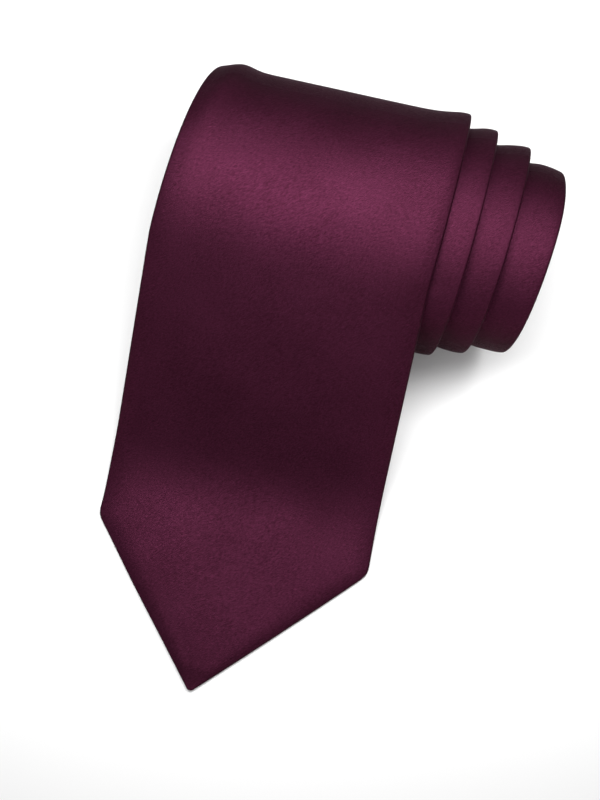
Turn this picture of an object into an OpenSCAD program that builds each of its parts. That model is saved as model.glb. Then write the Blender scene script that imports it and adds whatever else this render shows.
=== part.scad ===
// A man's necktie, lying on a table: the wide blade's tip is flat, the blade
// rises from it, and the rest of the tie is wound into a roll whose turns step
// to the right as it narrows.  X runs along the roll's axis, -Y towards the
// tip, +Z up, in millimetres.

/* [Tie] */
// Length of the whole tie, from one tip to the other
tie_length = 1480; // [1300:5:1780]
// Width of the wide blade at its two corners
blade_width = 90; // [70:1:110]
// Length of the wide blade's pointed tip, from its point to its corners
blade_tip = 48; // [36:1:58]
// Narrowing of the wide blade for each mm of its length
blade_taper = 0.069; // [0.055:0.001:0.085]
// Width of the part that goes round the neck
neck_width = 36; // [28:1:44]
// Width of the narrow tail at its two corners
tail_width = 45; // [36:1:54]
// Length of the tail's pointed tip
tail_tip = 25; // [18:1:32]
// Where the blade is joined to the neck, from the blade's tip
blade_seam = 700; // [580:5:840]
// Where the neck is joined to the tail, from the blade's tip
tail_seam = 1000; // [900:5:1200]

/* [Cloth] */
// Thickness of the silk
silk_t = 0.35; // [0.25:0.05:0.45]
// Thickness of the woollen interlining
pad_t = 1.4; // [1:0.1:1.8]
// Overlap of the two back flaps, each side of the middle
lap = 4; // [3:0.5:6]
// Width of the hems at the blade's tip
hem = 10; // [7:1:13]
// Width of the hems at the tail's tip
tail_hem = 4; // [3:0.5:5]
// Where the blade's back flaps meet, from the tip
blade_vent = 66; // [62:1:80]
// Where the tail's back flaps meet, from the tail's tip
tail_vent = 38; // [30:1:50]

/* [Keeper loop] */
// Distance of the loop from the blade's tip
loop_at = 131; // [116:1:134]
// Width of the loop's band
loop_band = 9; // [6:1:11]
// Length of the loop across the blade, stitched ends included
loop_span = 48; // [40:1:54]
// Room under the loop for the tail to slip through
loop_room = 1; // [0.8:0.1:1.4]

/* [Care label] */
// Distance of the label from the tail's tip
label_at = 150; // [100:5:200]
// Length of the label along the tail
label_length = 26; // [16:1:32]
// Width of the label
label_width = 11; // [8:1:12]

/* [Roll] */
// Length of blade that isn't wound up
unrolled = 148.5; // [144:0.5:160]
// Radius of the innermost turn
core_r = 13.9; // [11:0.1:18]
// Free space between one turn and the next
turn_gap = 0.32; // [0.25:0.01:0.6]
// Slope of the blade where it leaves the roll
lean = 48; // [42:1:54]
// Radius at which the blade bends down onto the table
landing_r = 30; // [22:1:36]
// Step to the right of the first turns, for each turn
drift = 8.17; // [4:0.1:9.5]
// Growth of that step with the square of the turns
drift_2 = 0.436; // [0:0.01:0.6]
// Growth of that step with the cube of the turns
drift_3 = 0.127; // [0:0.001:0.15]
// Number of turns that step to the right
drift_turns = 3.15; // [2.5:0.05:3.5]
// Step back to the left of the hidden turns inside, for each turn
tuck = 0.6; // [0:0.1:1]
// Step back to the left by which those turns lie inside the last one that shows
recess = 5; // [0:0.5:6]

/* [Hidden] */

turn_step = 12;          // degrees between the rings of a sweep
ply = 0.05;              // air between two layers of cloth
side_room = 0.6;         // air between the interlining and the folded edges
cut = 0.2;               // air where one length of strip ends and the next begins
fold_step = 0.6;         // how far from the lower flap's edge the upper flap steps over it
thread = 0.3;            // thickness of the sewing threads
tack_t = 0.35;           // thickness of the bar tacks
tack_length = 2;         // length of the bar tacks along the tie
vent_slope = 1.5;        // opening of the back flaps below the point where they meet
recess_from = 0.25;      // turns between the end of the drift and the start of the recess
recess_turns = 0.3;      // turns over which the recess is reached
blunt = 6;               // width that is left at the very end of the tail
loop_t = 0.4;            // thickness of the loop's band
loop_foot = 5;           // length of each stitched end of the loop
loop_rise = 2;           // length over which the loop rises off the blade

// The strip's layers, by their distance from its middle surface: the face is
// at +face, the back flaps at -face and the overlapping flap below them.
face = pad_t / 2 + ply + silk_t;
flap_drop = silk_t + ply;
pitch = 2 * face + flap_drop + turn_gap;
mid_z = face + ply;

// The roll is an Archimedean spiral wound from its outside in.
leave_s = unrolled;
roll_r0 = sqrt(core_r * core_r + pitch * (tie_length - leave_s) / PI);
function roll_r(p) = roll_r0 - pitch * p / 360;
function roll_s(p) = leave_s + roll_r0 * p * PI / 180 - pitch * pow(p * PI / 180, 2) / (4 * PI);
function roll_p(s) = (roll_r0 - sqrt(roll_r0 * roll_r0 - pitch * (s - leave_s) / PI)) * 360 / pitch;
axis_z = roll_r(lean + 180) + face;

// The blade leaves the roll on a straight slope and bends onto the table.
landing_arc = landing_r * lean * PI / 180;
leave_z = axis_z + roll_r0 * cos(lean);
leave_y = -roll_r0 * sin(lean);
slope_length = (leave_z - mid_z - landing_r * (1 - cos(lean))) / sin(lean);
slope_y = leave_y - slope_length * cos(lean);
slope_z = leave_z - slope_length * sin(lean);
landing_y = slope_y - landing_r * sin(lean);
flat_length = leave_s - slope_length - landing_arc;
tip_y = landing_y - flat_length;

// Places along the strip: [distance from the tip, y, z, slope, turns wound].
function flat_place(s) = [s, tip_y + s, mid_z, 0, 0];
function landing_place(a) =
    [flat_length + landing_r * a * PI / 180,
     landing_y + landing_r * sin(a), mid_z + landing_r * (1 - cos(a)), a, 0];
function slope_place(s) =
    let (d = leave_s - s)
    [s, leave_y - d * cos(lean), leave_z - d * sin(lean), lean, 0];
function roll_place(p) =
    [roll_s(p), roll_r(p) * sin(p - lean), axis_z + roll_r(p) * cos(p - lean), lean - p, p / 360];
function landing_angle(s) = (s - flat_length) / landing_r * 180 / PI;
function place_at(s) =
    s <= flat_length ? flat_place(s) :
    s <= flat_length + landing_arc ? landing_place(landing_angle(s)) :
    s <= leave_s ? slope_place(s) : roll_place(roll_p(s));

// Rings fall on whole steps of angle, so that the flats of neighbouring turns
// and layers lie parallel. What is sewn onto the roll starts and ends on them.
function whole_step(a) = ceil(a / turn_step - 0.001) * turn_step;
function flats_between(from, to) =
    let (a = whole_step(roll_p(from)), b = max(a + turn_step, whole_step(roll_p(to) - turn_step)))
    [for (p = [a : turn_step : b]) roll_place(p)];
function roll_places(from, to) =
    let (a = roll_p(from), b = roll_p(to))
    [for (p = concat([a], [for (q = [ceil((a + 1) / turn_step) * turn_step : turn_step : b - 1]) q], [b]))
        roll_place(p)];
function drop_places(from) =
    concat([for (a = [whole_step(landing_angle(from)) : turn_step : lean - 1]) landing_place(a)],
           [slope_place(leave_s - slope_length), slope_place(leave_s - cut)]);

// Width of the strip, and where its two folded edges lie. The tail starts as
// wide as the neck ends, also where a wide blade hasn't narrowed fully by then.
neck_end = max(neck_width, blade_width - blade_taper * (tail_seam - blade_tip));
function width_at(s) =
    let (back = tie_length - s,
         blade = blade_width - blade_taper * (s - blade_tip),
         tail = neck_end + (tail_width - neck_end) * (s - tail_seam) / (tie_length - tail_tip - tail_seam))
    s < blade_tip ? blade_width * s / blade_tip :
    back < tail_tip ? max(blunt, tail_width * back / tail_tip) :
    s > tail_seam ? tail : max(neck_width, blade);
function step_right(u) = drift * u + drift_2 * u * u + drift_3 * u * u * u;
function right_edge(q) =
    q[4] <= 0 ? width_at(q[0]) / 2 :
    let (u = min(q[4], drift_turns), tipping = max(0, tail_tip - (tie_length - q[0])) / tail_tip,
         hidden = max(0, min(1, (q[4] - drift_turns - recess_from) / recess_turns)))
    width_at(leave_s) / 2 + step_right(u) - tuck * (q[4] - u) - recess * hidden - tail_width / 2 * tipping;
function left_edge(q) = right_edge(q) - width_at(q[0]);
function middle(q) = (left_edge(q) + right_edge(q)) / 2;

// Half the opening between the back flaps: negative where they overlap.
function vent(q) =
    let (back = tie_length - q[0], tail_end = back < tail_seam / 2,
         from_tip = tail_end ? back : q[0],
         meet = tail_end ? tail_vent : blade_vent,
         widest = width_at(q[0]) / 2 - silk_t - (tail_end ? tail_hem : hem))
    from_tip < meet ? max(silk_t, min(widest, (meet - from_tip) * vent_slope))
                    : max(-lap, (meet - from_tip) * vent_slope);
function flap_step(q) = q[0] <= flat_length ? ply : flap_drop;

// The origin is under the middle of the tie's box.
whole_roll = roll_places(leave_s, tie_length);
origin_x = (-blade_width / 2 + max([for (q = whole_roll) right_edge(q)])) / 2;
origin_y = (tip_y + max([for (q = whole_roll) q[1] - face * sin(q[3])])) / 2;

function spot(q, p) =
    [p[0] - origin_x, q[1] - p[1] * sin(q[3]) - origin_y, q[2] + p[1] * cos(q[3])];

// A solid through one ring of [across, off the middle surface] at each place.
module sweep(places, rings) {
    n = len(rings[0]);
    last = len(places) - 1;
    points = [for (i = [0 : last]) each [for (p = rings[i]) spot(places[i], p)]];
    sides = [for (i = [0 : last - 1]) each [for (j = [0 : n - 1])
        let (k = (j + 1) % n)
        each [[i * n + j, i * n + k, (i + 1) * n + k], [i * n + j, (i + 1) * n + k, (i + 1) * n + j]]]];
    // both ends are filled by strips between the ring's first and second half
    lids = [for (j = [0 : n / 2 - 2]) each
        let (a = j, b = j + 1, c = n - 2 - j, d = n - 1 - j, e = last * n)
        [[c, b, a], [d, c, a], [e + a, e + b, e + c], [e + a, e + c, e + d]]];
    polyhedron(points, concat(sides, lids));
}

// The silk: face, two folded edges and two back flaps, the right one over the left.
function shell_ring(q) =
    let (l = left_edge(q), r = right_edge(q), m = middle(q), g = vent(q), d = flap_step(q),
         lower = m - g, upper = m + g, step = max(lower, upper) + fold_step)
    [[lower, -face], [l, -face], [l, face], [r, face], [r, -face],
     [step, -face], [step, -face - d], [upper, -face - d], [upper, -face - d + silk_t],
     [step - fold_step / 2, -face - d + silk_t], [step - fold_step / 2, -face + silk_t],
     [r - silk_t, -face + silk_t], [r - silk_t, face - silk_t],
     [l + silk_t, face - silk_t], [l + silk_t, -face + silk_t], [lower, -face + silk_t]];
function block_ring(x0, x1, n0, n1) = [[x0, n0], [x0, n1], [x1, n1], [x1, n0]];
function pad_ring(q) =
    let (in = silk_t + side_room)
    block_ring(left_edge(q) + in, right_edge(q) - in, -pad_t / 2, pad_t / 2);
function stitch_ring(q) =
    let (edge = middle(q) + vent(q) - ply)
    block_ring(edge - thread, edge, -face - ply - thread, -face - ply);
function tipping_ring(q) =
    let (half = vent(q) - ply)
    block_ring(middle(q) - half, middle(q) + half, -face, -face + silk_t);

module shell(places) sweep(places, [for (q = places) shell_ring(q)]);
module padding(places) sweep(places, [for (q = places) pad_ring(q)]);
module slip_stitch(places) sweep(places, [for (q = places) stitch_ring(q)]);
module lining(places) sweep(places, [for (q = places) tipping_ring(q)]);
module bar_tack(s) {
    places = [place_at(s), place_at(s + tack_length)];
    under = -face - flap_drop - ply;
    sweep(places, [for (q = places) block_ring(middle(q) - lap, middle(q) + lap, under - tack_t, under)]);
}
module seam(s) {
    // a row of thread across the face, in the gap between the two lengths of silk
    places = [place_at(s - cut / 4), place_at(s + cut / 4)];
    sweep(places, [for (q = places)
        block_ring(left_edge(q) + side_room, right_edge(q) - side_room, face - silk_t, face)]);
}

// The flat tip, seen from above, its edges moved in by d.
tip_angle = atan(blade_width / 2 / blade_tip);
module tip_outline(d, end) {
    corner = (blade_width / 2 + blade_taper * blade_tip / 2 - d + d / cos(tip_angle))
        / (tan(tip_angle) + blade_taper / 2);
    corner_x = (corner - d / sin(tip_angle)) * tan(tip_angle);
    back_x = corner_x - (2 * blade_tip - corner) * blade_taper / 2;
    intersection() {
        polygon([[0, d / sin(tip_angle)], [corner_x, corner], [back_x, 2 * blade_tip],
                 [-back_x, 2 * blade_tip], [-corner_x, corner]]);
        translate([-blade_width, 0]) square([2 * blade_width, end]);
    }
}
module vent_outline(d, end) {
    intersection() {
        tip_outline(hem + d, end);
        polygon([[0, blade_vent - d], [-blade_vent * vent_slope, -d], [blade_vent * vent_slope, -d]]);
    }
}
module lay_flat(n0, n1)
    translate([-origin_x, tip_y - origin_y, mid_z + n0]) linear_extrude(n1 - n0) children();

silk = "#5a1834";
silk_dark = "#4a132b";
wool = "#d9d2c4";
silk_lining = "#3f1226";
sewing = "#6b2442";

module apron_shell() color(silk) {
    end = flat_length - cut;
    lay_flat(face - silk_t, face) tip_outline(0, end);
    lay_flat(-face - ply, face - silk_t) difference() {
        tip_outline(0, end);
        tip_outline(silk_t, end + 1);
    }
    lay_flat(-face - ply, -face + silk_t) difference() {
        tip_outline(0, end);
        vent_outline(0, end + 1);
    }
}
module apron_interlining() color(wool)
    lay_flat(-pad_t / 2, pad_t / 2) tip_outline(silk_t + side_room, flat_length - cut);
module blade_tipping() color(silk_lining)
    lay_flat(-face - ply, -face + silk_t) vent_outline(ply, flat_length - cut);

drop_run = drop_places(flat_length);
tipping_run = [landing_place(0), landing_place(turn_step)];
stitch_run = drop_places(blade_vent + 1);
module drop_shell() color(silk) shell(drop_run);
module drop_interlining() color(wool) padding(drop_run);
module upper_tipping() color(silk_lining) lining(tipping_run);
module drop_slip_stitch() color(sewing) slip_stitch(stitch_run);
module blade_bar_tack() color(sewing) bar_tack(blade_vent + 2);

// The keeper loop: a band across the back of the blade, held at its two ends.
loop_under = -face - flap_drop - loop_room;
loop_floor = -face - ply;
module keeper_loop() color(silk_dark) {
    out = loop_span / 2;
    foot = out - loop_foot;
    rise = foot - loop_rise;
    half = [[out, loop_floor - loop_t], [foot, loop_floor - loop_t], [rise, loop_under - loop_t]];
    inner = [[rise - loop_t, loop_under], [foot - loop_t, loop_floor], [out, loop_floor]];
    ring = concat(
        [for (p = half) [-p[0], p[1]]], [for (i = [2 : -1 : 0]) half[i]],
        [for (i = [2 : -1 : 0]) inner[i]], [for (p = inner) [-p[0], p[1]]]);
    places = [place_at(loop_at - loop_band / 2), place_at(loop_at + loop_band / 2)];
    sweep(places, [for (q = places) [for (i = [len(ring) - 1 : -1 : 0]) ring[i]]]);
}
module keeper_loop_stitches() color(sewing) {
    reach = loop_band / 2 - 1;
    top = loop_floor - loop_t - ply;
    places = [place_at(loop_at - reach), place_at(loop_at + reach)];
    for (side = [-1, 1])
        let (a = side * (loop_span / 2 - 1), b = side * (loop_span / 2 - loop_foot + 1))
        sweep(places, [for (q = places) block_ring(min(a, b), max(a, b), top - thread, top)]);
}

blade_run = roll_places(leave_s, blade_seam - cut / 2);
neck_run = roll_places(blade_seam + cut / 2, tail_seam - cut / 2);
tail_run = roll_places(tail_seam + cut / 2, tie_length);
tail_pad_run = roll_places(tail_seam + cut / 2, tie_length - 2);
tail_stitch_run = roll_places(tail_seam + cut / 2, tie_length - tail_vent - 1);
tail_tipping_run = flats_between(tie_length - tail_vent + 1, tie_length - tail_hem);
module blade_roll_shell() color(silk) shell(blade_run);
module blade_roll_interlining() color(wool) padding(blade_run);
module blade_roll_slip_stitch() color(sewing) slip_stitch(blade_run);
module neck_shell() color(silk) shell(neck_run);
module neck_interlining() color(wool) padding(neck_run);
module neck_slip_stitch() color(sewing) slip_stitch(neck_run);
module blade_neck_seam() color(sewing) seam(blade_seam);
module tail_shell() color(silk) shell(tail_run);
module tail_interlining() color(wool) padding(tail_pad_run);
module tail_slip_stitch() color(sewing) slip_stitch(tail_stitch_run);
module neck_tail_seam() color(sewing) seam(tail_seam);
module tail_tipping() color(silk_lining) lining(tail_tipping_run);
module tail_bar_tack() color(sewing) {
    // beside the turn inside it there is only the turn gap, so this tack is a flat one
    places = flats_between(tie_length - tail_vent - 3 * tack_length, tie_length - tail_vent - tack_length);
    top = -face - flap_drop;
    sweep(places, [for (q = places)
        block_ring(middle(q) - lap, middle(q) + lap, top - turn_gap / 2, top)]);
}
module care_label() color("#e8e2d6") {
    run = flats_between(tie_length - label_at, tie_length - label_at + label_length);
    under = -face - ply;
    near = lap + fold_step + ply;
    sweep(run, [for (q = run)
        block_ring(middle(q) + near, middle(q) + near + label_width, under - flap_drop / 2, under)]);
}

apron_shell();
apron_interlining();
blade_tipping();
drop_shell();
drop_interlining();
upper_tipping();
drop_slip_stitch();
blade_bar_tack();
keeper_loop();
keeper_loop_stitches();
blade_roll_shell();
blade_roll_interlining();
blade_roll_slip_stitch();
neck_shell();
neck_interlining();
neck_slip_stitch();
blade_neck_seam();
tail_shell();
tail_interlining();
tail_slip_stitch();
neck_tail_seam();
tail_tipping();
tail_bar_tack();
care_label();
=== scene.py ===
"""A burgundy satin necktie, lying loosely rolled: the wide tip is flat on the table and the rest is wound up.

The tie is one folded strip. Everything is placed by s, the distance along the strip from the wide tip, and by
two numbers across it: x, to the right, and n, outwards from the strip's middle surface towards its face.
Lengths are in millimetres until a mesh is made.
"""
import bpy
import numpy as np
from mathutils import Matrix, Vector


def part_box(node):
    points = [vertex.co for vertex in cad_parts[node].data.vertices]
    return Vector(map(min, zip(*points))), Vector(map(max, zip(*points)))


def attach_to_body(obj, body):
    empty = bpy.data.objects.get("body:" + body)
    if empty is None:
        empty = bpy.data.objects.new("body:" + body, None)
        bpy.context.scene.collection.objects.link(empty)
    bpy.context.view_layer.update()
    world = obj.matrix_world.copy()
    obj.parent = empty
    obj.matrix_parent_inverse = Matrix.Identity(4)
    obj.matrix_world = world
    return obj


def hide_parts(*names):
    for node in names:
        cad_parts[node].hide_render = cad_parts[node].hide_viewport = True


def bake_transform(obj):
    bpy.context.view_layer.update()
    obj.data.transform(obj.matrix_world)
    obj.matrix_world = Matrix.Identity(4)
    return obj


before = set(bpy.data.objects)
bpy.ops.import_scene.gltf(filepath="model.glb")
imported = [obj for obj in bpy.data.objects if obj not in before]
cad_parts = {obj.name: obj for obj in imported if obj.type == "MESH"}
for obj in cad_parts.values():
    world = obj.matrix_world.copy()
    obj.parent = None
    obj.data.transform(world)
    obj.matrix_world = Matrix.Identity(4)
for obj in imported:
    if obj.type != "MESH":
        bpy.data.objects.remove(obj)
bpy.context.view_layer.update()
MM = 0.001

# ---- The strip, as the CAD model has it
TIE_LENGTH = 1480.0
BLADE_WIDTH, BLADE_TIP, BLADE_TAPER = 90.0, 48.0, 0.069
NECK_WIDTH, TAIL_WIDTH, TAIL_TIP = 36.0, 45.0, 25.0
BLADE_SEAM, TAIL_SEAM = 700.0, 1000.0
UNROLLED = 148.5
CORE_R, PITCH = 13.9, 2.92
LEAN, LANDING_R = np.radians(48.0), 30.0
DRIFT, DRIFT_2, DRIFT_3, DRIFT_TURNS, TUCK = 8.17, 0.436, 0.127, 3.15, 0.6
RECESS, RECESS_FROM, RECESS_TURNS = 5.0, 0.25, 0.3
FACE, LAP, FLAP_DROP = 1.1, 4.0, 0.4
BLADE_HEM, BLADE_VENT = 10.0, 66.0
TAIL_HEM, TAIL_VENT = 4.0, 38.0
VENT_SLOPE = 1.5
LOOP_AT, LOOP_BAND, LOOP_SPAN = 131.0, 9.0, 48.0
LABEL_AT, LABEL_LENGTH, LABEL_WIDTH = 150.0, 26.0, 11.0
STITCH_LENGTH = 6.4

# ---- The line that the strip follows
STEP = 0.5
S = np.arange(0, TIE_LENGTH + STEP / 2, STEP)


def softened(values, reach):
    """values along the strip, with their corners rounded off over about reach millimetres."""
    n = int(3 * reach / STEP)
    kernel = np.exp(-0.5 * (np.arange(-n, n + 1) * STEP / reach) ** 2)
    before = 2 * values[0] - values[n:0:-1]
    after = 2 * values[-1] - values[-2:-n - 2:-1]
    return np.convolve(np.concatenate([before, values, after]), kernel / kernel.sum(), "valid")


ROLL_R = np.sqrt(CORE_R ** 2 + PITCH * (TIE_LENGTH - UNROLLED) / np.pi)
WOUND = (ROLL_R - np.sqrt(ROLL_R ** 2 - PITCH * np.maximum(S - UNROLLED, 0) / np.pi)) * 2 * np.pi / PITCH
TURNS = WOUND / (2 * np.pi)
AXIS_Z = ROLL_R - PITCH * (LEAN / (2 * np.pi) + 0.5) + FACE
MID_Z = FACE + 0.05
LEAVE_Y, LEAVE_Z = -ROLL_R * np.sin(LEAN), AXIS_Z + ROLL_R * np.cos(LEAN)
LANDING_RISE = LANDING_R * (1 - np.cos(LEAN))
SLOPE_LENGTH = (LEAVE_Z - MID_Z - LANDING_RISE) / np.sin(LEAN)
FLAT_LENGTH = UNROLLED - SLOPE_LENGTH - LANDING_R * LEAN
TIP_Y = LEAVE_Y - SLOPE_LENGTH * np.cos(LEAN) - LANDING_R * np.sin(LEAN) - FLAT_LENGTH


def centre_line():
    """y, z and slope along the strip, its bends eased into each other."""
    slope = softened(np.clip((S - FLAT_LENGTH) / LANDING_R, 0, LEAN) - WOUND, 5)
    radius = ROLL_R - PITCH * TURNS
    y, z = radius * np.sin(WOUND - LEAN), AXIS_Z + radius * np.cos(WOUND - LEAN)
    held = int((UNROLLED + 40) / STEP)
    for line, run in ((y, np.cos(slope)), (z, np.sin(slope))):
        steps = (run[1:held + 1] + run[:held]) / 2 * STEP
        line[:held] = line[held] - np.cumsum(steps[::-1])[::-1]
    z[:held] += (MID_Z - z[0]) * np.clip((UNROLLED - S[:held]) / (UNROLLED - FLAT_LENGTH), 0, 1)
    return y, z, slope


LINE_Y, LINE_Z, SLOPE = centre_line()

# ---- How wide the strip is, and how its turns step to the right
BACK = TIE_LENGTH - S
blade = np.maximum(NECK_WIDTH, BLADE_WIDTH - BLADE_TAPER * (S - BLADE_TIP))
tail = NECK_WIDTH + (TAIL_WIDTH - NECK_WIDTH) * (S - TAIL_SEAM) / (TIE_LENGTH - TAIL_TIP - TAIL_SEAM)
WIDTH = np.where(S > TAIL_SEAM, tail, blade)
WIDTH = np.minimum(WIDTH, np.minimum(BLADE_WIDTH * S / BLADE_TIP, TAIL_WIDTH * BACK / TAIL_TIP))
NARROWED = 1.2 * np.exp(-((S - BLADE_TIP) / 14) ** 2)      # the left corner is a little blunt
WIDTH = softened(WIDTH, 1.4) - NARROWED
stepping = np.minimum(TURNS, DRIFT_TURNS)
RIGHT = (np.interp(UNROLLED, S, WIDTH) / 2 + DRIFT * stepping + DRIFT_2 * stepping ** 2
         + DRIFT_3 * stepping ** 3 - TUCK * (TURNS - stepping)
         - RECESS * np.clip((TURNS - DRIFT_TURNS - RECESS_FROM) / RECESS_TURNS, 0, 1)
         - TAIL_WIDTH / 2 * np.clip(1 - BACK / TAIL_TIP, 0, 1))
CENTRE = np.where(S < UNROLLED, 0, softened(RIGHT, 5) - WIDTH / 2)
TIP_LEFT, TIP_BEND = 2.0, 60       # how far the wide tip points to the left, and the length that bends there
CENTRE = CENTRE - TIP_LEFT * (1 - np.minimum(S, TIP_BEND) / TIP_BEND) ** 2 + NARROWED / 2
TIP_R = 1.5          # rounding of the wide tip's point


def along(table, s):
    """A table's values at the places s along the strip."""
    return np.interp(s, S, table)


def width_of(s):
    """The strip's width, with the point of its wide tip rounded off."""
    angle = np.arctan(BLADE_WIDTH / 2 / BLADE_TIP)
    centre = TIP_R / np.sin(angle)
    round_tip = 2 * np.sqrt(np.clip(TIP_R ** 2 - (s - centre) ** 2, 0.01, None))
    return np.where(s < centre * np.cos(angle) ** 2, round_tip, along(WIDTH, s))


def strip_edges(s):
    """x of the strip's left and right edges."""
    return along(CENTRE, s) - width_of(s) / 2, along(CENTRE, s) + width_of(s) / 2


def s_at(turn_degrees):
    """Where the strip has been wound through this angle."""
    a = np.radians(turn_degrees)
    return UNROLLED + ROLL_R * a - PITCH * a ** 2 / (4 * np.pi)


apron_low, apron_high = (np.array(c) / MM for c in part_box("apron_shell"))
SHIFT = np.array([(apron_low[0] + apron_high[0]) / 2, apron_low[1] - TIP_Y, 0.0])


def spots(s, x, n):
    """Points in the frame, in metres, for arrays of s and of x and n across the strip at each s."""
    slope = along(SLOPE, s)[:, None]
    y = along(LINE_Y, s)[:, None] - n * np.sin(slope)
    z = along(LINE_Z, s)[:, None] + n * np.cos(slope)
    return (np.stack([x, y, z], -1) + SHIFT) * MM


# ---- Meshes
END_RING = 0.02      # distance of the extra ring from each end of a sweep


def new_object(name, points, quads, flat_quads, cloth, slot, material):
    """A mesh of quads, smooth but for its flat ends, with its place on the cloth kept for the materials."""
    mesh = bpy.data.meshes.new(name)
    quads = np.concatenate([quads, flat_quads]) if len(flat_quads) else quads
    mesh.vertices.add(len(points))
    mesh.vertices.foreach_set("co", points.astype(np.float32).ravel())
    mesh.loops.add(quads.size)
    mesh.loops.foreach_set("vertex_index", quads.astype(np.int32).ravel())
    mesh.polygons.add(len(quads))
    mesh.polygons.foreach_set("loop_start", np.arange(0, quads.size, 4, dtype=np.int32))
    smooth = np.ones(len(quads), bool)
    smooth[len(quads) - len(flat_quads):] = False
    mesh.polygons.foreach_set("use_smooth", smooth)
    mesh.update(calc_edges=True)
    mesh.validate()
    place = mesh.attributes.new("cloth", "FLOAT_VECTOR", "POINT")
    place.data.foreach_set("vector", (cloth * MM).astype(np.float32).ravel())
    obj = bpy.data.objects.new(name, mesh)
    bpy.context.scene.collection.objects.link(obj)
    mesh.materials.append(material)
    return obj


def band_faces(count, ring):
    """Quads between rings whose second half runs back along the first, and the quads that fill the two ends."""
    i, j = np.meshgrid(np.arange(count - 1), np.arange(ring), indexing="ij")
    k = (j + 1) % ring
    quads = np.stack([i * ring + j, i * ring + k, (i + 1) * ring + k, (i + 1) * ring + j], -1).reshape(-1, 4)
    j = np.arange(ring // 2 - 1)
    lid = np.stack([j + 1, j, ring - 1 - j, ring - 2 - j], -1)
    return quads, np.concatenate([lid, lid[:, ::-1] + (count - 1) * ring])


def swept(name, s, x, n, cloth_x, slot, material):
    """A closed solid through a ring at each s. A ring's second half runs back along its first, which fills the ends.

    A second ring close to each end keeps the smooth shading of the sides straight up to it.
    """
    s, x, n, cloth_x = (np.concatenate([v[:1], v, v[-1:]]) for v in (s, x, n, cloth_x))
    s[1], s[-2] = s[1] + END_RING, s[-2] - END_RING
    cloth = np.stack([cloth_x, np.broadcast_to(s[:, None], x.shape), n], -1).reshape(-1, 3)
    return new_object(name, spots(s, x, n).reshape(-1, 3), *band_faces(*x.shape), cloth, slot, material)


def tube(name, route, radius, slot, material, sides=6):
    """A round thread through the points of route, which are in the frame and in metres."""
    ahead = np.gradient(route, axis=0)
    ahead /= np.linalg.norm(ahead, axis=1)[:, None]
    across = np.cross(ahead, [0.31, 0.2, 0.93])
    across /= np.linalg.norm(across, axis=1)[:, None]
    upright = np.cross(ahead, across)
    a = np.arange(sides) * 2 * np.pi / sides
    rings = (route[:, None] + radius * MM * (across[:, None] * np.cos(a)[None, :, None]
                                             + upright[:, None] * np.sin(a)[None, :, None]))
    count = len(route)
    i, j = np.meshgrid(np.arange(count - 1), np.arange(sides), indexing="ij")
    k = (j + 1) % sides
    quads = np.stack([i * sides + j, (i + 1) * sides + j, (i + 1) * sides + k, i * sides + k], -1).reshape(-1, 4)
    lid = np.array([[0, 1, 2, 3], [0, 3, 4, 5]])
    lids = np.concatenate([lid, lid[:, ::-1] + (count - 1) * sides])
    reach = np.concatenate([[0], np.cumsum(np.linalg.norm(np.diff(route, axis=0), axis=1))]) / MM
    cloth = np.stack([np.broadcast_to(a * radius, (count, sides)), np.broadcast_to(reach[:, None], (count, sides)),
                      np.zeros((count, sides))], -1).reshape(-1, 3)
    return new_object(name, rings.reshape(-1, 3), quads, lids, cloth, slot, material)


# ---- The shape of the folded silk
def vent(s):
    """Half the opening between the back flaps: negative where they overlap."""
    back = TIE_LENGTH - s
    tail_end = back < 400
    from_tip = np.where(tail_end, back, s)
    meet = np.where(tail_end, TAIL_VENT, BLADE_VENT)
    hem = np.where(tail_end, TAIL_HEM, BLADE_HEM)
    half, tip = np.where(tail_end, TAIL_WIDTH, BLADE_WIDTH) / 2, np.where(tail_end, TAIL_TIP, BLADE_TIP)
    angle = np.arctan(half / tip)
    hem_line = (from_tip - hem / np.sin(angle)) * np.tan(angle)
    side_line = width_of(s) / 2 - hem
    opening = np.minimum(np.minimum(hem_line, side_line), (meet - from_tip) * VENT_SLOPE)
    return np.where(from_tip < meet, np.maximum(opening, 0.08), np.maximum(-LAP, (meet - from_tip) * VENT_SLOPE))


def smoothstep(t):
    """0 up to t = 0, 1 from t = 1, and eased in between."""
    t = np.clip(t, 0, 1)
    return t * t * (3 - 2 * t)


def puff(s):
    """How much the face stands up above its plain thickness, where nothing lies on it."""
    wound = np.degrees(along(WOUND, s))
    return 1.0 * (1 - smoothstep((wound - 20) / 80)) * np.minimum(1, s / 22) ** 0.6


def ripple(s, x):
    """The face's slight unevenness, the same in every run."""
    return (0.10 * np.sin(s / 17 + x / 31) * np.sin(x / 19 + 0.8) + 0.07 * np.sin(s / 9.3 - x / 13 + 1.3)
            + 0.04 * np.sin(s / 5.1 + x / 6.3 + 2.1))


def flare(s, x, left, right):
    """How far the free edges of the wound turns stand out from the roll: most at its back, not at all underneath."""
    wound = np.degrees(along(WOUND, s))[:, None]
    inwards = right - x
    shows = smoothstep((wound - 20) / 60) * (1 - smoothstep((wound - 1130) / 90))
    on_table = smoothstep((wound - 150) / 50) * (1 - smoothstep((wound - 260) / 50))
    rim = 0.55 * np.exp(-inwards / 3.0) * shows * (1 - on_table)
    curl = sum(size * np.exp(-((wound - at) / 42) ** 2) * np.exp(-(inwards / reach) ** 2)
               for size, at, reach in ((1.3, 112, 8), (1.1, 470, 8), (1.1, 828, 8), (-0.8, 1190, 5)))
    left_edge = (1.3 * np.exp(-((x - left - 6.5) / 4.2) ** 2) * smoothstep((wound - 25) / 50)
                 * (1 - smoothstep((wound - 105) / 70)))
    return rim + curl + left_edge


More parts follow.
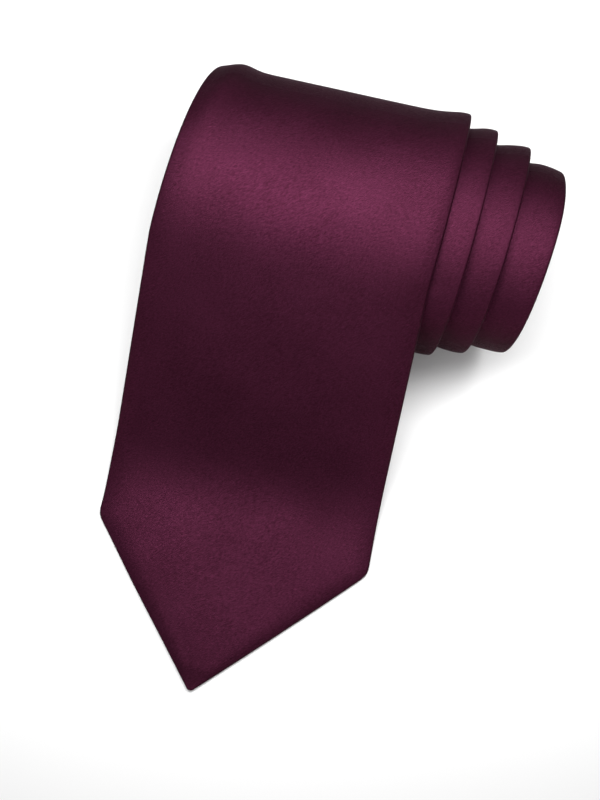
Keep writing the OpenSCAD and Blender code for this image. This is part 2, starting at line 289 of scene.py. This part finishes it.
def groove(s, x):
    """How far a wound turn's face is pressed in along the edge of the turn that lies over it."""
    wound = along(WOUND, s)
    edge = np.interp(wound - 2 * np.pi, WOUND, along(CENTRE, S) + WIDTH / 2)[:, None]
    return 0.45 * np.exp(-((x - edge - 0.3) / 2.6) ** 2) * smoothstep(wound[:, None] - 2 * np.pi + 1.0)


CLOTH_T = 0.3        # thickness of one layer of silk
NOSE = 0.75          # radius of a folded edge
SHOULDER = 11.0      # width over which the face rises from its edge
UNDER_SHOULDER = 2.5


def shell_rings(s):
    """x, n and the distance along the cloth for the rings of the folded silk."""
    left, right = strip_edges(s)
    middle, width = (left + right) / 2, right - left
    g = vent(s)
    lift = puff(s)
    scale = np.clip(width / 14, 0.12, 1)
    wound = np.degrees(along(WOUND, s))
    shoulder, right_shoulder = (reach * (1 - np.exp(-0.45 * width / reach))
                                for reach in (SHOULDER, SHOULDER - 6 * smoothstep((wound + 0.5) / 60)))
    under = np.minimum(UNDER_SHOULDER, 0.2 * width)
    nose = NOSE * scale
    centre = -0.35 * scale

    turn = np.linspace(0, np.pi / 2, 6)
    nose_in = nose[:, None] * (1 - np.cos(turn))
    rise_in, right_in = (
        np.concatenate([nose_in, nose[:, None] + (reach - nose)[:, None] * np.linspace(0, 1, 9)[1:]], 1)
        for reach in (shoulder, right_shoulder))
    sink = nose[:, None] + (under - nose)[:, None] * np.linspace(0, 1, 4)[1:]
    sink_in = np.concatenate([nose_in, sink], 1)

    def profile(inwards, reach, top):
        k = NOSE * scale[:, None]
        bulge = k * np.sqrt(np.clip(1 - (1 - np.clip(inwards / k, 0, 1)) ** 2, 0, 1))
        return bulge + (top - k) * (1 - (1 - np.clip(inwards / reach[:, None], 0, 1)) ** 2.6)

    crest = (FACE + lift - centre)[:, None] * scale[:, None]
    face_n = centre[:, None] + profile(rise_in, shoulder, crest)
    right_n = centre[:, None] + profile(right_in, right_shoulder, crest)
    back_n = centre[:, None] - profile(sink_in, under, ((FACE + centre) * scale)[:, None])
    top = face_n[:, -1:]
    low = back_n[:, -1:]

    span = np.linspace(0, 1, 27)[1:-1]
    face_x = (left + shoulder)[:, None] + (width - shoulder - right_shoulder)[:, None] * span
    crown = 0.25 * lift[:, None] * np.sin(np.pi * span)
    left_flap = (middle - g)[:, None] + (left + under - middle + g)[:, None] * np.linspace(0, 1, 8)[:-1]
    right_flap = (right - under)[:, None] + (middle + g - right + under)[:, None] * np.linspace(0, 1, 25)[1:]
    step = np.maximum(middle - g, middle + g)[:, None] + 1.6
    drop = FLAP_DROP * smoothstep((s - FLAT_LENGTH) / 6)[:, None] * smoothstep((step - right_flap) / 1.2)

    x = np.concatenate([left_flap, left[:, None] + sink_in[:, ::-1], left[:, None] + rise_in[:, 1:], face_x,
                        right[:, None] - right_in[:, ::-1], right[:, None] - sink_in[:, 1:], right_flap], 1)
    n = np.concatenate([np.broadcast_to(low, left_flap.shape), back_n[:, ::-1], face_n[:, 1:], top + crown,
                        right_n[:, ::-1], back_n[:, 1:], low - drop], 1)
    on_face = smoothstep((n - 0.2) / 0.8)
    n = n + (ripple(s[:, None], x) * lift[:, None] - groove(s, x)) * on_face

    tangent = np.stack([np.gradient(x, axis=1), np.gradient(n, axis=1)], -1)
    tangent /= np.maximum(np.linalg.norm(tangent, axis=-1, keepdims=True), 1e-9)
    inner_x = x + CLOTH_T * tangent[..., 1] * scale[:, None]
    inner_n = n - CLOTH_T * tangent[..., 0] * scale[:, None]

    run = np.cumsum(np.hypot(np.diff(x, axis=1, prepend=x[:, :1]), np.diff(n, axis=1, prepend=n[:, :1])), 1)
    run = run - run[:, x.shape[1] // 2 - 6][:, None]
    x = np.concatenate([x, inner_x[:, ::-1]], 1)
    n = np.concatenate([n, inner_n[:, ::-1]], 1)
    run = np.concatenate([run, run[:, ::-1]], 1)
    n = n + flare(s, x, left[:, None], right[:, None])
    return x, n, run


# ---- Materials
def node(tree, kind, **values):
    """A new shader node. A value whose name starts with _ is a property of the node, and the rest are inputs."""
    made = tree.nodes.new(kind)
    for key, value in values.items():
        if key.startswith("_"):
            setattr(made, key[1:], value)
        else:
            made.inputs[key].default_value = value
    return made


def fabric(name, colour_low, colour_high, roughness, sheen, weave_angle, grain, bump, specular=0.5, metallic=0.0,
           sheen_tint=(1, 1, 1, 1)):
    """Cloth with fine slanted fibres. grain is the fibres' (length, width) in metres, bump their height in metres."""
    material = bpy.data.materials.new(name)
    material.use_nodes = True
    tree = material.node_tree
    shader = tree.nodes["Principled BSDF"]
    link = tree.links.new
    place = node(tree, "ShaderNodeAttribute", _attribute_name="cloth")
    turned = node(tree, "ShaderNodeVectorRotate", _rotation_type="Z_AXIS", Angle=np.radians(weave_angle))
    link(place.outputs["Vector"], turned.inputs["Vector"])
    stretched = node(tree, "ShaderNodeVectorMath", _operation="MULTIPLY")
    stretched.inputs[1].default_value = (1 / grain[0], 1 / grain[1], 1 / grain[0])
    link(turned.outputs["Vector"], stretched.inputs[0])
    fibre = node(tree, "ShaderNodeTexNoise", Scale=1.0, Detail=3.0, Roughness=0.78)
    link(stretched.outputs["Vector"], fibre.inputs["Vector"])
    cloud = node(tree, "ShaderNodeTexNoise", Scale=45.0, Detail=2.0, Roughness=0.5)
    link(place.outputs["Vector"], cloud.inputs["Vector"])
    shade = node(tree, "ShaderNodeMath", _operation="MULTIPLY_ADD")
    shade.inputs[1].default_value = 0.18
    link(cloud.outputs["Fac"], shade.inputs[0])
    weight = node(tree, "ShaderNodeMath", _operation="MULTIPLY")
    weight.inputs[1].default_value = 0.82
    link(fibre.outputs["Fac"], weight.inputs[0])
    link(weight.outputs["Value"], shade.inputs[2])
    ramp = tree.nodes.new("ShaderNodeValToRGB")
    ramp.color_ramp.elements[0].position, ramp.color_ramp.elements[0].color = 0.34, (*colour_low, 1)
    ramp.color_ramp.elements[1].position, ramp.color_ramp.elements[1].color = 0.66, (*colour_high, 1)
    link(shade.outputs["Value"], ramp.inputs["Fac"])
    link(ramp.outputs["Color"], shader.inputs["Base Color"])
    rough = node(tree, "ShaderNodeMapRange")
    rough.inputs["From Min"].default_value, rough.inputs["From Max"].default_value = 0.3, 0.7
    rough.inputs["To Min"].default_value, rough.inputs["To Max"].default_value = roughness[1], roughness[0]
    link(fibre.outputs["Fac"], rough.inputs["Value"])
    link(rough.outputs["Result"], shader.inputs["Roughness"])
    relief = node(tree, "ShaderNodeBump", Strength=1.0, Distance=bump)
    link(fibre.outputs["Fac"], relief.inputs["Height"])
    link(relief.outputs["Normal"], shader.inputs["Normal"])
    shader.inputs["Sheen Weight"].default_value = sheen
    shader.inputs["Sheen Roughness"].default_value = 0.4
    shader.inputs["Sheen Tint"].default_value = sheen_tint
    shader.inputs["Specular IOR Level"].default_value = specular
    shader.inputs["Specular Tint"].default_value = sheen_tint
    shader.inputs["Metallic"].default_value = metallic
    return material


SATIN = fabric("satin", (0.0240, 0.0044, 0.0103), (0.0610, 0.0120, 0.0300), (0.42, 0.56), 0.0, -42, (0.0010, 0.00024),
               0.00016, specular=0.25, metallic=0.82, sheen_tint=(0.23, 0.065, 0.145, 1))
LINING = fabric("lining", (0.0175, 0.0034, 0.0085), (0.0310, 0.0060, 0.0150), (0.55, 0.75), 0.1, 0, (0.0009, 0.0003),
                0.00016, specular=0.4, sheen_tint=(0.6, 0.27, 0.4, 1))
WOOL = fabric("wool", (0.35, 0.31, 0.25), (0.52, 0.49, 0.44), (0.8, 0.95), 0.4, 20, (0.0030, 0.0005), 0.0003)
THREAD = fabric("thread", (0.040, 0.0054, 0.016), (0.088, 0.0135, 0.039), (0.4, 0.6), 0.1, 30, (0.0006, 0.00015),
                0.00005)
TAPE = fabric("tape", (0.42, 0.39, 0.34), (0.54, 0.52, 0.47), (0.7, 0.9), 0.2, 0, (0.0008, 0.0004), 0.00008)

# ---- The strip is cut into stretches: the roll and the core each ride on one body, the others stay fixed where they lie
MID_SLOPE = 110.0
STRETCHES = {
    "tip": np.concatenate([[0.7, 0.74, 0.8, 0.9, 1.02, 1.16], np.linspace(1.5, 4, 6)[:-1],
                           np.arange(4, MID_SLOPE + 0.5, 1.0)]),
    "drop": np.concatenate([np.arange(MID_SLOPE, UNROLLED, 1.1), s_at(np.arange(0, 102, 2.0))]),
    "roll": s_at(np.arange(100, 861, 2.5)),
    "seam": s_at(np.arange(860, 1041, 2.5)),
    "core": np.concatenate([s_at(np.arange(1040, 1400, 2.5)), s_at(np.arange(1400, 2949, 4.0)),
                            np.linspace(s_at(2947), TIE_LENGTH - 0.4, 4)]),
}
REPLACED = {"tip": "apron", "drop": "drop", "roll": "blade_roll", "seam": "neck", "core": "tail"}


def attach(obj, stretch):
    """Rides with the body of the roll or of the core; the other stretches are fixed where they lie."""
    if stretch == "tip":
        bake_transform(obj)
    elif stretch == "drop":
        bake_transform(obj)
    elif stretch == "roll":
        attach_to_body(obj, "rolled_blade")
    elif stretch == "seam":
        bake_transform(obj)
    else:
        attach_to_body(obj, "rolled_core")


def make_shells():
    """The silk, folded round to the back, in its stretches."""
    for stretch, s in STRETCHES.items():
        x, n, run = shell_rings(s)
        shell = swept(f"silk_{stretch}", s, x, n, run, "silk_satin", SATIN)
        attach(shell, stretch)
        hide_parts(f"{REPLACED[stretch]}_shell")


def band_rings(low_x, high_x, low_n, high_n, count, round_off=0.4):
    """Rings of a flat band of cloth between two x and two n at each s, its edges thinned to rounds."""
    u = np.linspace(0, 1, count)
    x = low_x[:, None] + (high_x - low_x)[:, None] * u
    edge = np.minimum(x - low_x[:, None], high_x[:, None] - x)
    full = np.sqrt(np.clip(1 - (1 - np.clip(edge / round_off, 0, 1)) ** 2, 0, 1)) * 0.94 + 0.06
    middle, half = (low_n + high_n)[:, None] / 2, (high_n - low_n)[:, None] / 2
    return (np.concatenate([x, x[:, ::-1]], 1),
            np.concatenate([middle + half * full, (middle - half * full)[:, ::-1]], 1),
            np.concatenate([x, x[:, ::-1]], 1))


def make_interlinings():
    """The wool inside the silk, a little narrower than the folded edges."""
    for stretch, s in STRETCHES.items():
        s = s[(s > 9) & (s < TIE_LENGTH - 8)]
        left, right = strip_edges(s)
        inset = np.where(s < BLADE_TIP, 5.5, 2.2)
        x, n, run = band_rings(left + inset, right - inset, np.full(len(s), -0.42), np.full(len(s), 0.5), 24, 1.0)
        n = n + flare(s, x, left[:, None], right[:, None])
        pad = swept(f"wool_{stretch}", s, x, n, run, "wool_interlining", WOOL)
        attach(pad, stretch)
        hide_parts(f"{REPLACED[stretch]}_interlining")


def make_tippings():
    """The linings that show between the back flaps at the two tips."""
    for name, stretch, replaced, first, last in (
            ("blade_lining", "tip", ["blade_tipping", "upper_tipping"], 9, BLADE_VENT + 6),
            ("tail_lining", "core", ["tail_tipping"], TIE_LENGTH - TAIL_VENT - 4, TIE_LENGTH - 5)):
        s = np.arange(first, last, 0.75)
        left, right = strip_edges(s)
        from_tip = np.where(s > 400, TIE_LENGTH - s, s)
        room = (right - left) / 2 - np.where(from_tip < 400, 3.2, 2.5)
        half = np.maximum(0.6, np.minimum(room, np.maximum(vent(s), 0) + 4.5))
        middle = (left + right) / 2
        low = np.full(len(s), -FACE + CLOTH_T + 0.04)
        x, n, run = band_rings(middle - half, middle + half, low, low + 0.2, 30, 0.2)
        pucker = 0.05 * np.sin(x / 2.3 + s[:, None] / 5) * np.sin(s[:, None] / 3.1)
        lining = swept(name, s, x, n + pucker, run, "silk_lining", LINING)
        attach(lining, stretch)
        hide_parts(*replaced)


def thread_route(s, x, n):
    """Points in the frame, in metres, for single places on the strip."""
    return spots(s, x[:, None], n[:, None])[:, 0]


def make_slip_stitches():
    """One long thread that dips in and out along the edge of the upper flap, in five lengths."""
    for stretch, s in STRETCHES.items():
        first = BLADE_VENT + 4 if stretch == "tip" else s[0]
        last = TIE_LENGTH - TAIL_VENT - 4 if stretch == "core" else s[-1]
        s = np.arange(first, last, 0.8)
        sway = np.sin(s * 2 * np.pi / STITCH_LENGTH)
        x = along(CENTRE, s) + vent(s) - 0.05 + 0.35 * sway
        n = -FACE - 0.16 - 0.12 * (1 - sway)
        stitch = tube(f"slip_stitch_{stretch}", thread_route(s, x, n), 0.12, "sewing_thread", THREAD)
        if stretch == "tip":
            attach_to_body(stitch, "blade_drop")
        else:
            attach(stitch, stretch)
            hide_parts(f"{REPLACED[stretch]}_slip_stitch")


def make_bar_tacks():
    """A bar of close stitches where the back flaps meet, at each end of the tie."""
    passes = 11
    t = np.linspace(0, passes, passes * 12 + 1)
    zigzag = 4 * np.abs((t / 2) % 1 - 0.5) - 1
    for name, replaced, body, first, reach, depth, radius in (
            ("bar_tack_blade", "blade_bar_tack", "blade_drop", BLADE_VENT + 2.5, 3.4, 0.30, 0.14),
            ("bar_tack_tail", "tail_bar_tack", "rolled_core", TIE_LENGTH - TAIL_VENT - 3, 2.6, 0.13, 0.09)):
        s = first + 0.16 * t
        n = -FACE - FLAP_DROP - depth * (1 - zigzag ** 8)
        route = thread_route(s, along(CENTRE, s) + reach * zigzag, n)
        tack = tube(name, route, radius, "sewing_thread", THREAD)
        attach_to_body(tack, body)
        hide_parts(replaced)


def make_keeper_loop():
    """The band across the back of the blade that the tail slips through."""
    u = np.linspace(-1, 1, 61)
    x = u * LOOP_SPAN / 2
    rise = smoothstep((LOOP_SPAN / 2 - 3.5 - np.abs(x)) / 4.5)
    middle_n = -FACE - 0.32 - 1.55 * rise - 0.25 * rise * (1 - u ** 2)
    across = np.linspace(-1, 1, 9)
    half_t = 0.26 * np.sqrt(np.clip(1 - np.abs(across) ** 6, 0.02, 1))
    ring_s = LOOP_AT + np.concatenate([across, across[::-1]]) * LOOP_BAND / 2
    ring_n = np.concatenate([half_t, -half_t[::-1]])
    count, ring = len(x), len(ring_s)
    points = np.concatenate([spots(ring_s, np.full((ring, 1), at), (ring_n + n)[:, None])[:, 0]
                             for at, n in zip(x, middle_n)])
    cloth = np.stack([np.tile(ring_s, count), np.repeat(x, ring), np.tile(ring_n, count)], -1)
    loop = new_object("keeper_band", points, *band_faces(count, ring), cloth, "silk_satin", SATIN)
    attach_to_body(loop, "blade_drop")
    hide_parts("keeper_loop")


def make_keeper_stitches():
    """A square of stitches that holds each end of the keeper loop."""
    t = np.linspace(0, 4, 121)
    square_s, square_x = (np.interp(t, np.arange(5), corners) for corners in ([0, 1, 1, 0, 0], [0, 0, 1, 1, 0]))
    s = LOOP_AT + (square_s - 0.5) * (LOOP_BAND - 2.2)
    dash = np.abs((t * 5) % 1 - 0.5) * 2
    n = -FACE - 0.62 + 0.14 * (dash > 0.72)
    for end, side in (("left", -1), ("right", 1)):
        x = side * (LOOP_SPAN / 2 - 3.4 + square_x * 2.6)
        stitches = tube(f"keeper_stitches_{end}", thread_route(s, x, n), 0.12, "sewing_thread", THREAD)
        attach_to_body(stitches, "blade_drop")
        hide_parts("keeper_loop_stitches")


def make_seams():
    """The threads of the two seams that join the blade, neck and tail panels."""
    for name, replaced, s0, stretch in (("seam_blade_neck", "blade_neck_seam", BLADE_SEAM, "seam"),
                                        ("seam_neck_tail", "neck_tail_seam", TAIL_SEAM, "core")):
        left, right = (float(v[0]) for v in strip_edges(np.array([s0])))
        x = np.linspace(left + 0.4, right - 0.4, 160)
        s = s0 + 0.10 * np.sin(x * 2 * np.pi / 1.8)
        n = FACE - 0.05 - 0.35 * (2 - smoothstep((x - left) / 1.2) - smoothstep((right - x) / 1.2))
        seam = tube(name, thread_route(s, x, n), 0.1, "sewing_thread", THREAD)
        attach(seam, stretch)
        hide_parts(replaced)


def make_label():
    """A blank woven label on the back of the tail."""
    s = np.arange(TIE_LENGTH - LABEL_AT, TIE_LENGTH - LABEL_AT + LABEL_LENGTH, 0.8)
    low = along(CENTRE, s) + LAP + 0.9
    low_n, high_n = np.full(len(s), -FACE - 0.24), np.full(len(s), -FACE - 0.06)
    x, n, run = band_rings(low, low + LABEL_WIDTH, low_n, high_n, 16, 0.1)
    label = swept("label", s, x, n, run, "label_tape", TAPE)
    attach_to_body(label, "rolled_core")
    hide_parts("care_label")


make_shells()
make_interlinings()
make_tippings()
make_slip_stitches()
make_bar_tacks()
make_keeper_loop()
make_keeper_stitches()
make_seams()
make_label()

# ---- Camera, floor and light, seen from above the tip and a little to the right
CAMERA_AT = np.array([19.566, -162.768, 386.905])
TILT, YAW, ROLL_ANGLE = np.radians([16.124, 1.206, -12.701])
LENS = 54.3


def add_camera():
    data = bpy.data.cameras.new("camera")
    data.lens, data.sensor_width, data.clip_start = LENS, 36, 0.01
    camera = bpy.data.objects.new("camera", data)
    bpy.context.scene.collection.objects.link(camera)
    basis = Matrix.Rotation(TILT, 3, "X") @ Matrix.Rotation(YAW, 3, "Y") @ Matrix.Rotation(-ROLL_ANGLE, 3, "Z")
    camera.matrix_world = Matrix.Translation((CAMERA_AT + SHIFT) * MM) @ basis.to_4x4()
    bpy.context.scene.camera = camera


def add_floor():
    """A sheet of white paper under the tie."""
    mesh = bpy.data.meshes.new("floor")
    half = 3.0
    mesh.from_pydata([(-half, -half, 0), (half, -half, 0), (half, half, 0), (-half, half, 0)], [], [(0, 1, 2, 3)])
    floor = bpy.data.objects.new("floor", mesh)
    bpy.context.scene.collection.objects.link(floor)
    paper = bpy.data.materials.new("paper")
    paper.use_nodes = True
    shader = paper.node_tree.nodes["Principled BSDF"]
    shader.inputs["Base Color"].default_value = (0.9, 0.9, 0.9, 1)
    shader.inputs["Roughness"].default_value = 0.9
    shader.inputs["Specular IOR Level"].default_value = 0.1
    mesh.materials.append(paper)


def add_light(name, at, towards, size, power, turned):
    """A soft box of this size, turned by so many degrees about its own axis."""
    data = bpy.data.lights.new(name, "AREA")
    data.shape, data.size, data.size_y, data.energy = "RECTANGLE", size[0], size[1], power
    light = bpy.data.objects.new(name, data)
    bpy.context.scene.collection.objects.link(light)
    light.visible_camera = False
    at, towards = Vector(at), Vector(towards)
    facing = (towards - at).to_track_quat("-Z", "Y").to_matrix().to_4x4()
    light.matrix_world = Matrix.Translation(at) @ facing @ Matrix.Rotation(np.radians(turned), 4, "Z")


def add_soft_sun(name, direction, spread, power):
    """Even light over the whole floor, as from a large window far away."""
    data = bpy.data.lights.new(name, "SUN")
    data.angle, data.energy = np.radians(spread), power
    light = bpy.data.objects.new(name, data)
    bpy.context.scene.collection.objects.link(light)
    light.matrix_world = Vector(direction).to_track_quat("-Z", "Y").to_matrix().to_4x4()


def add_world(strength):
    world = bpy.data.worlds.new("studio")
    bpy.context.scene.world = world
    world.use_nodes = True
    world.node_tree.nodes["Background"].inputs["Color"].default_value = (1, 1, 1, 1)
    world.node_tree.nodes["Background"].inputs["Strength"].default_value = strength


add_camera()
add_floor()
add_light("key", (0.02, 0.04, 0.235), (0.01, 0.14, 0.05), (0.30, 0.105), 1.12, 26)
add_soft_sun("fill", (0.0, 1.3, -1.9), 75, 0.58)
add_world(0.39)
bpy.context.scene.view_settings.view_transform = "Standard"
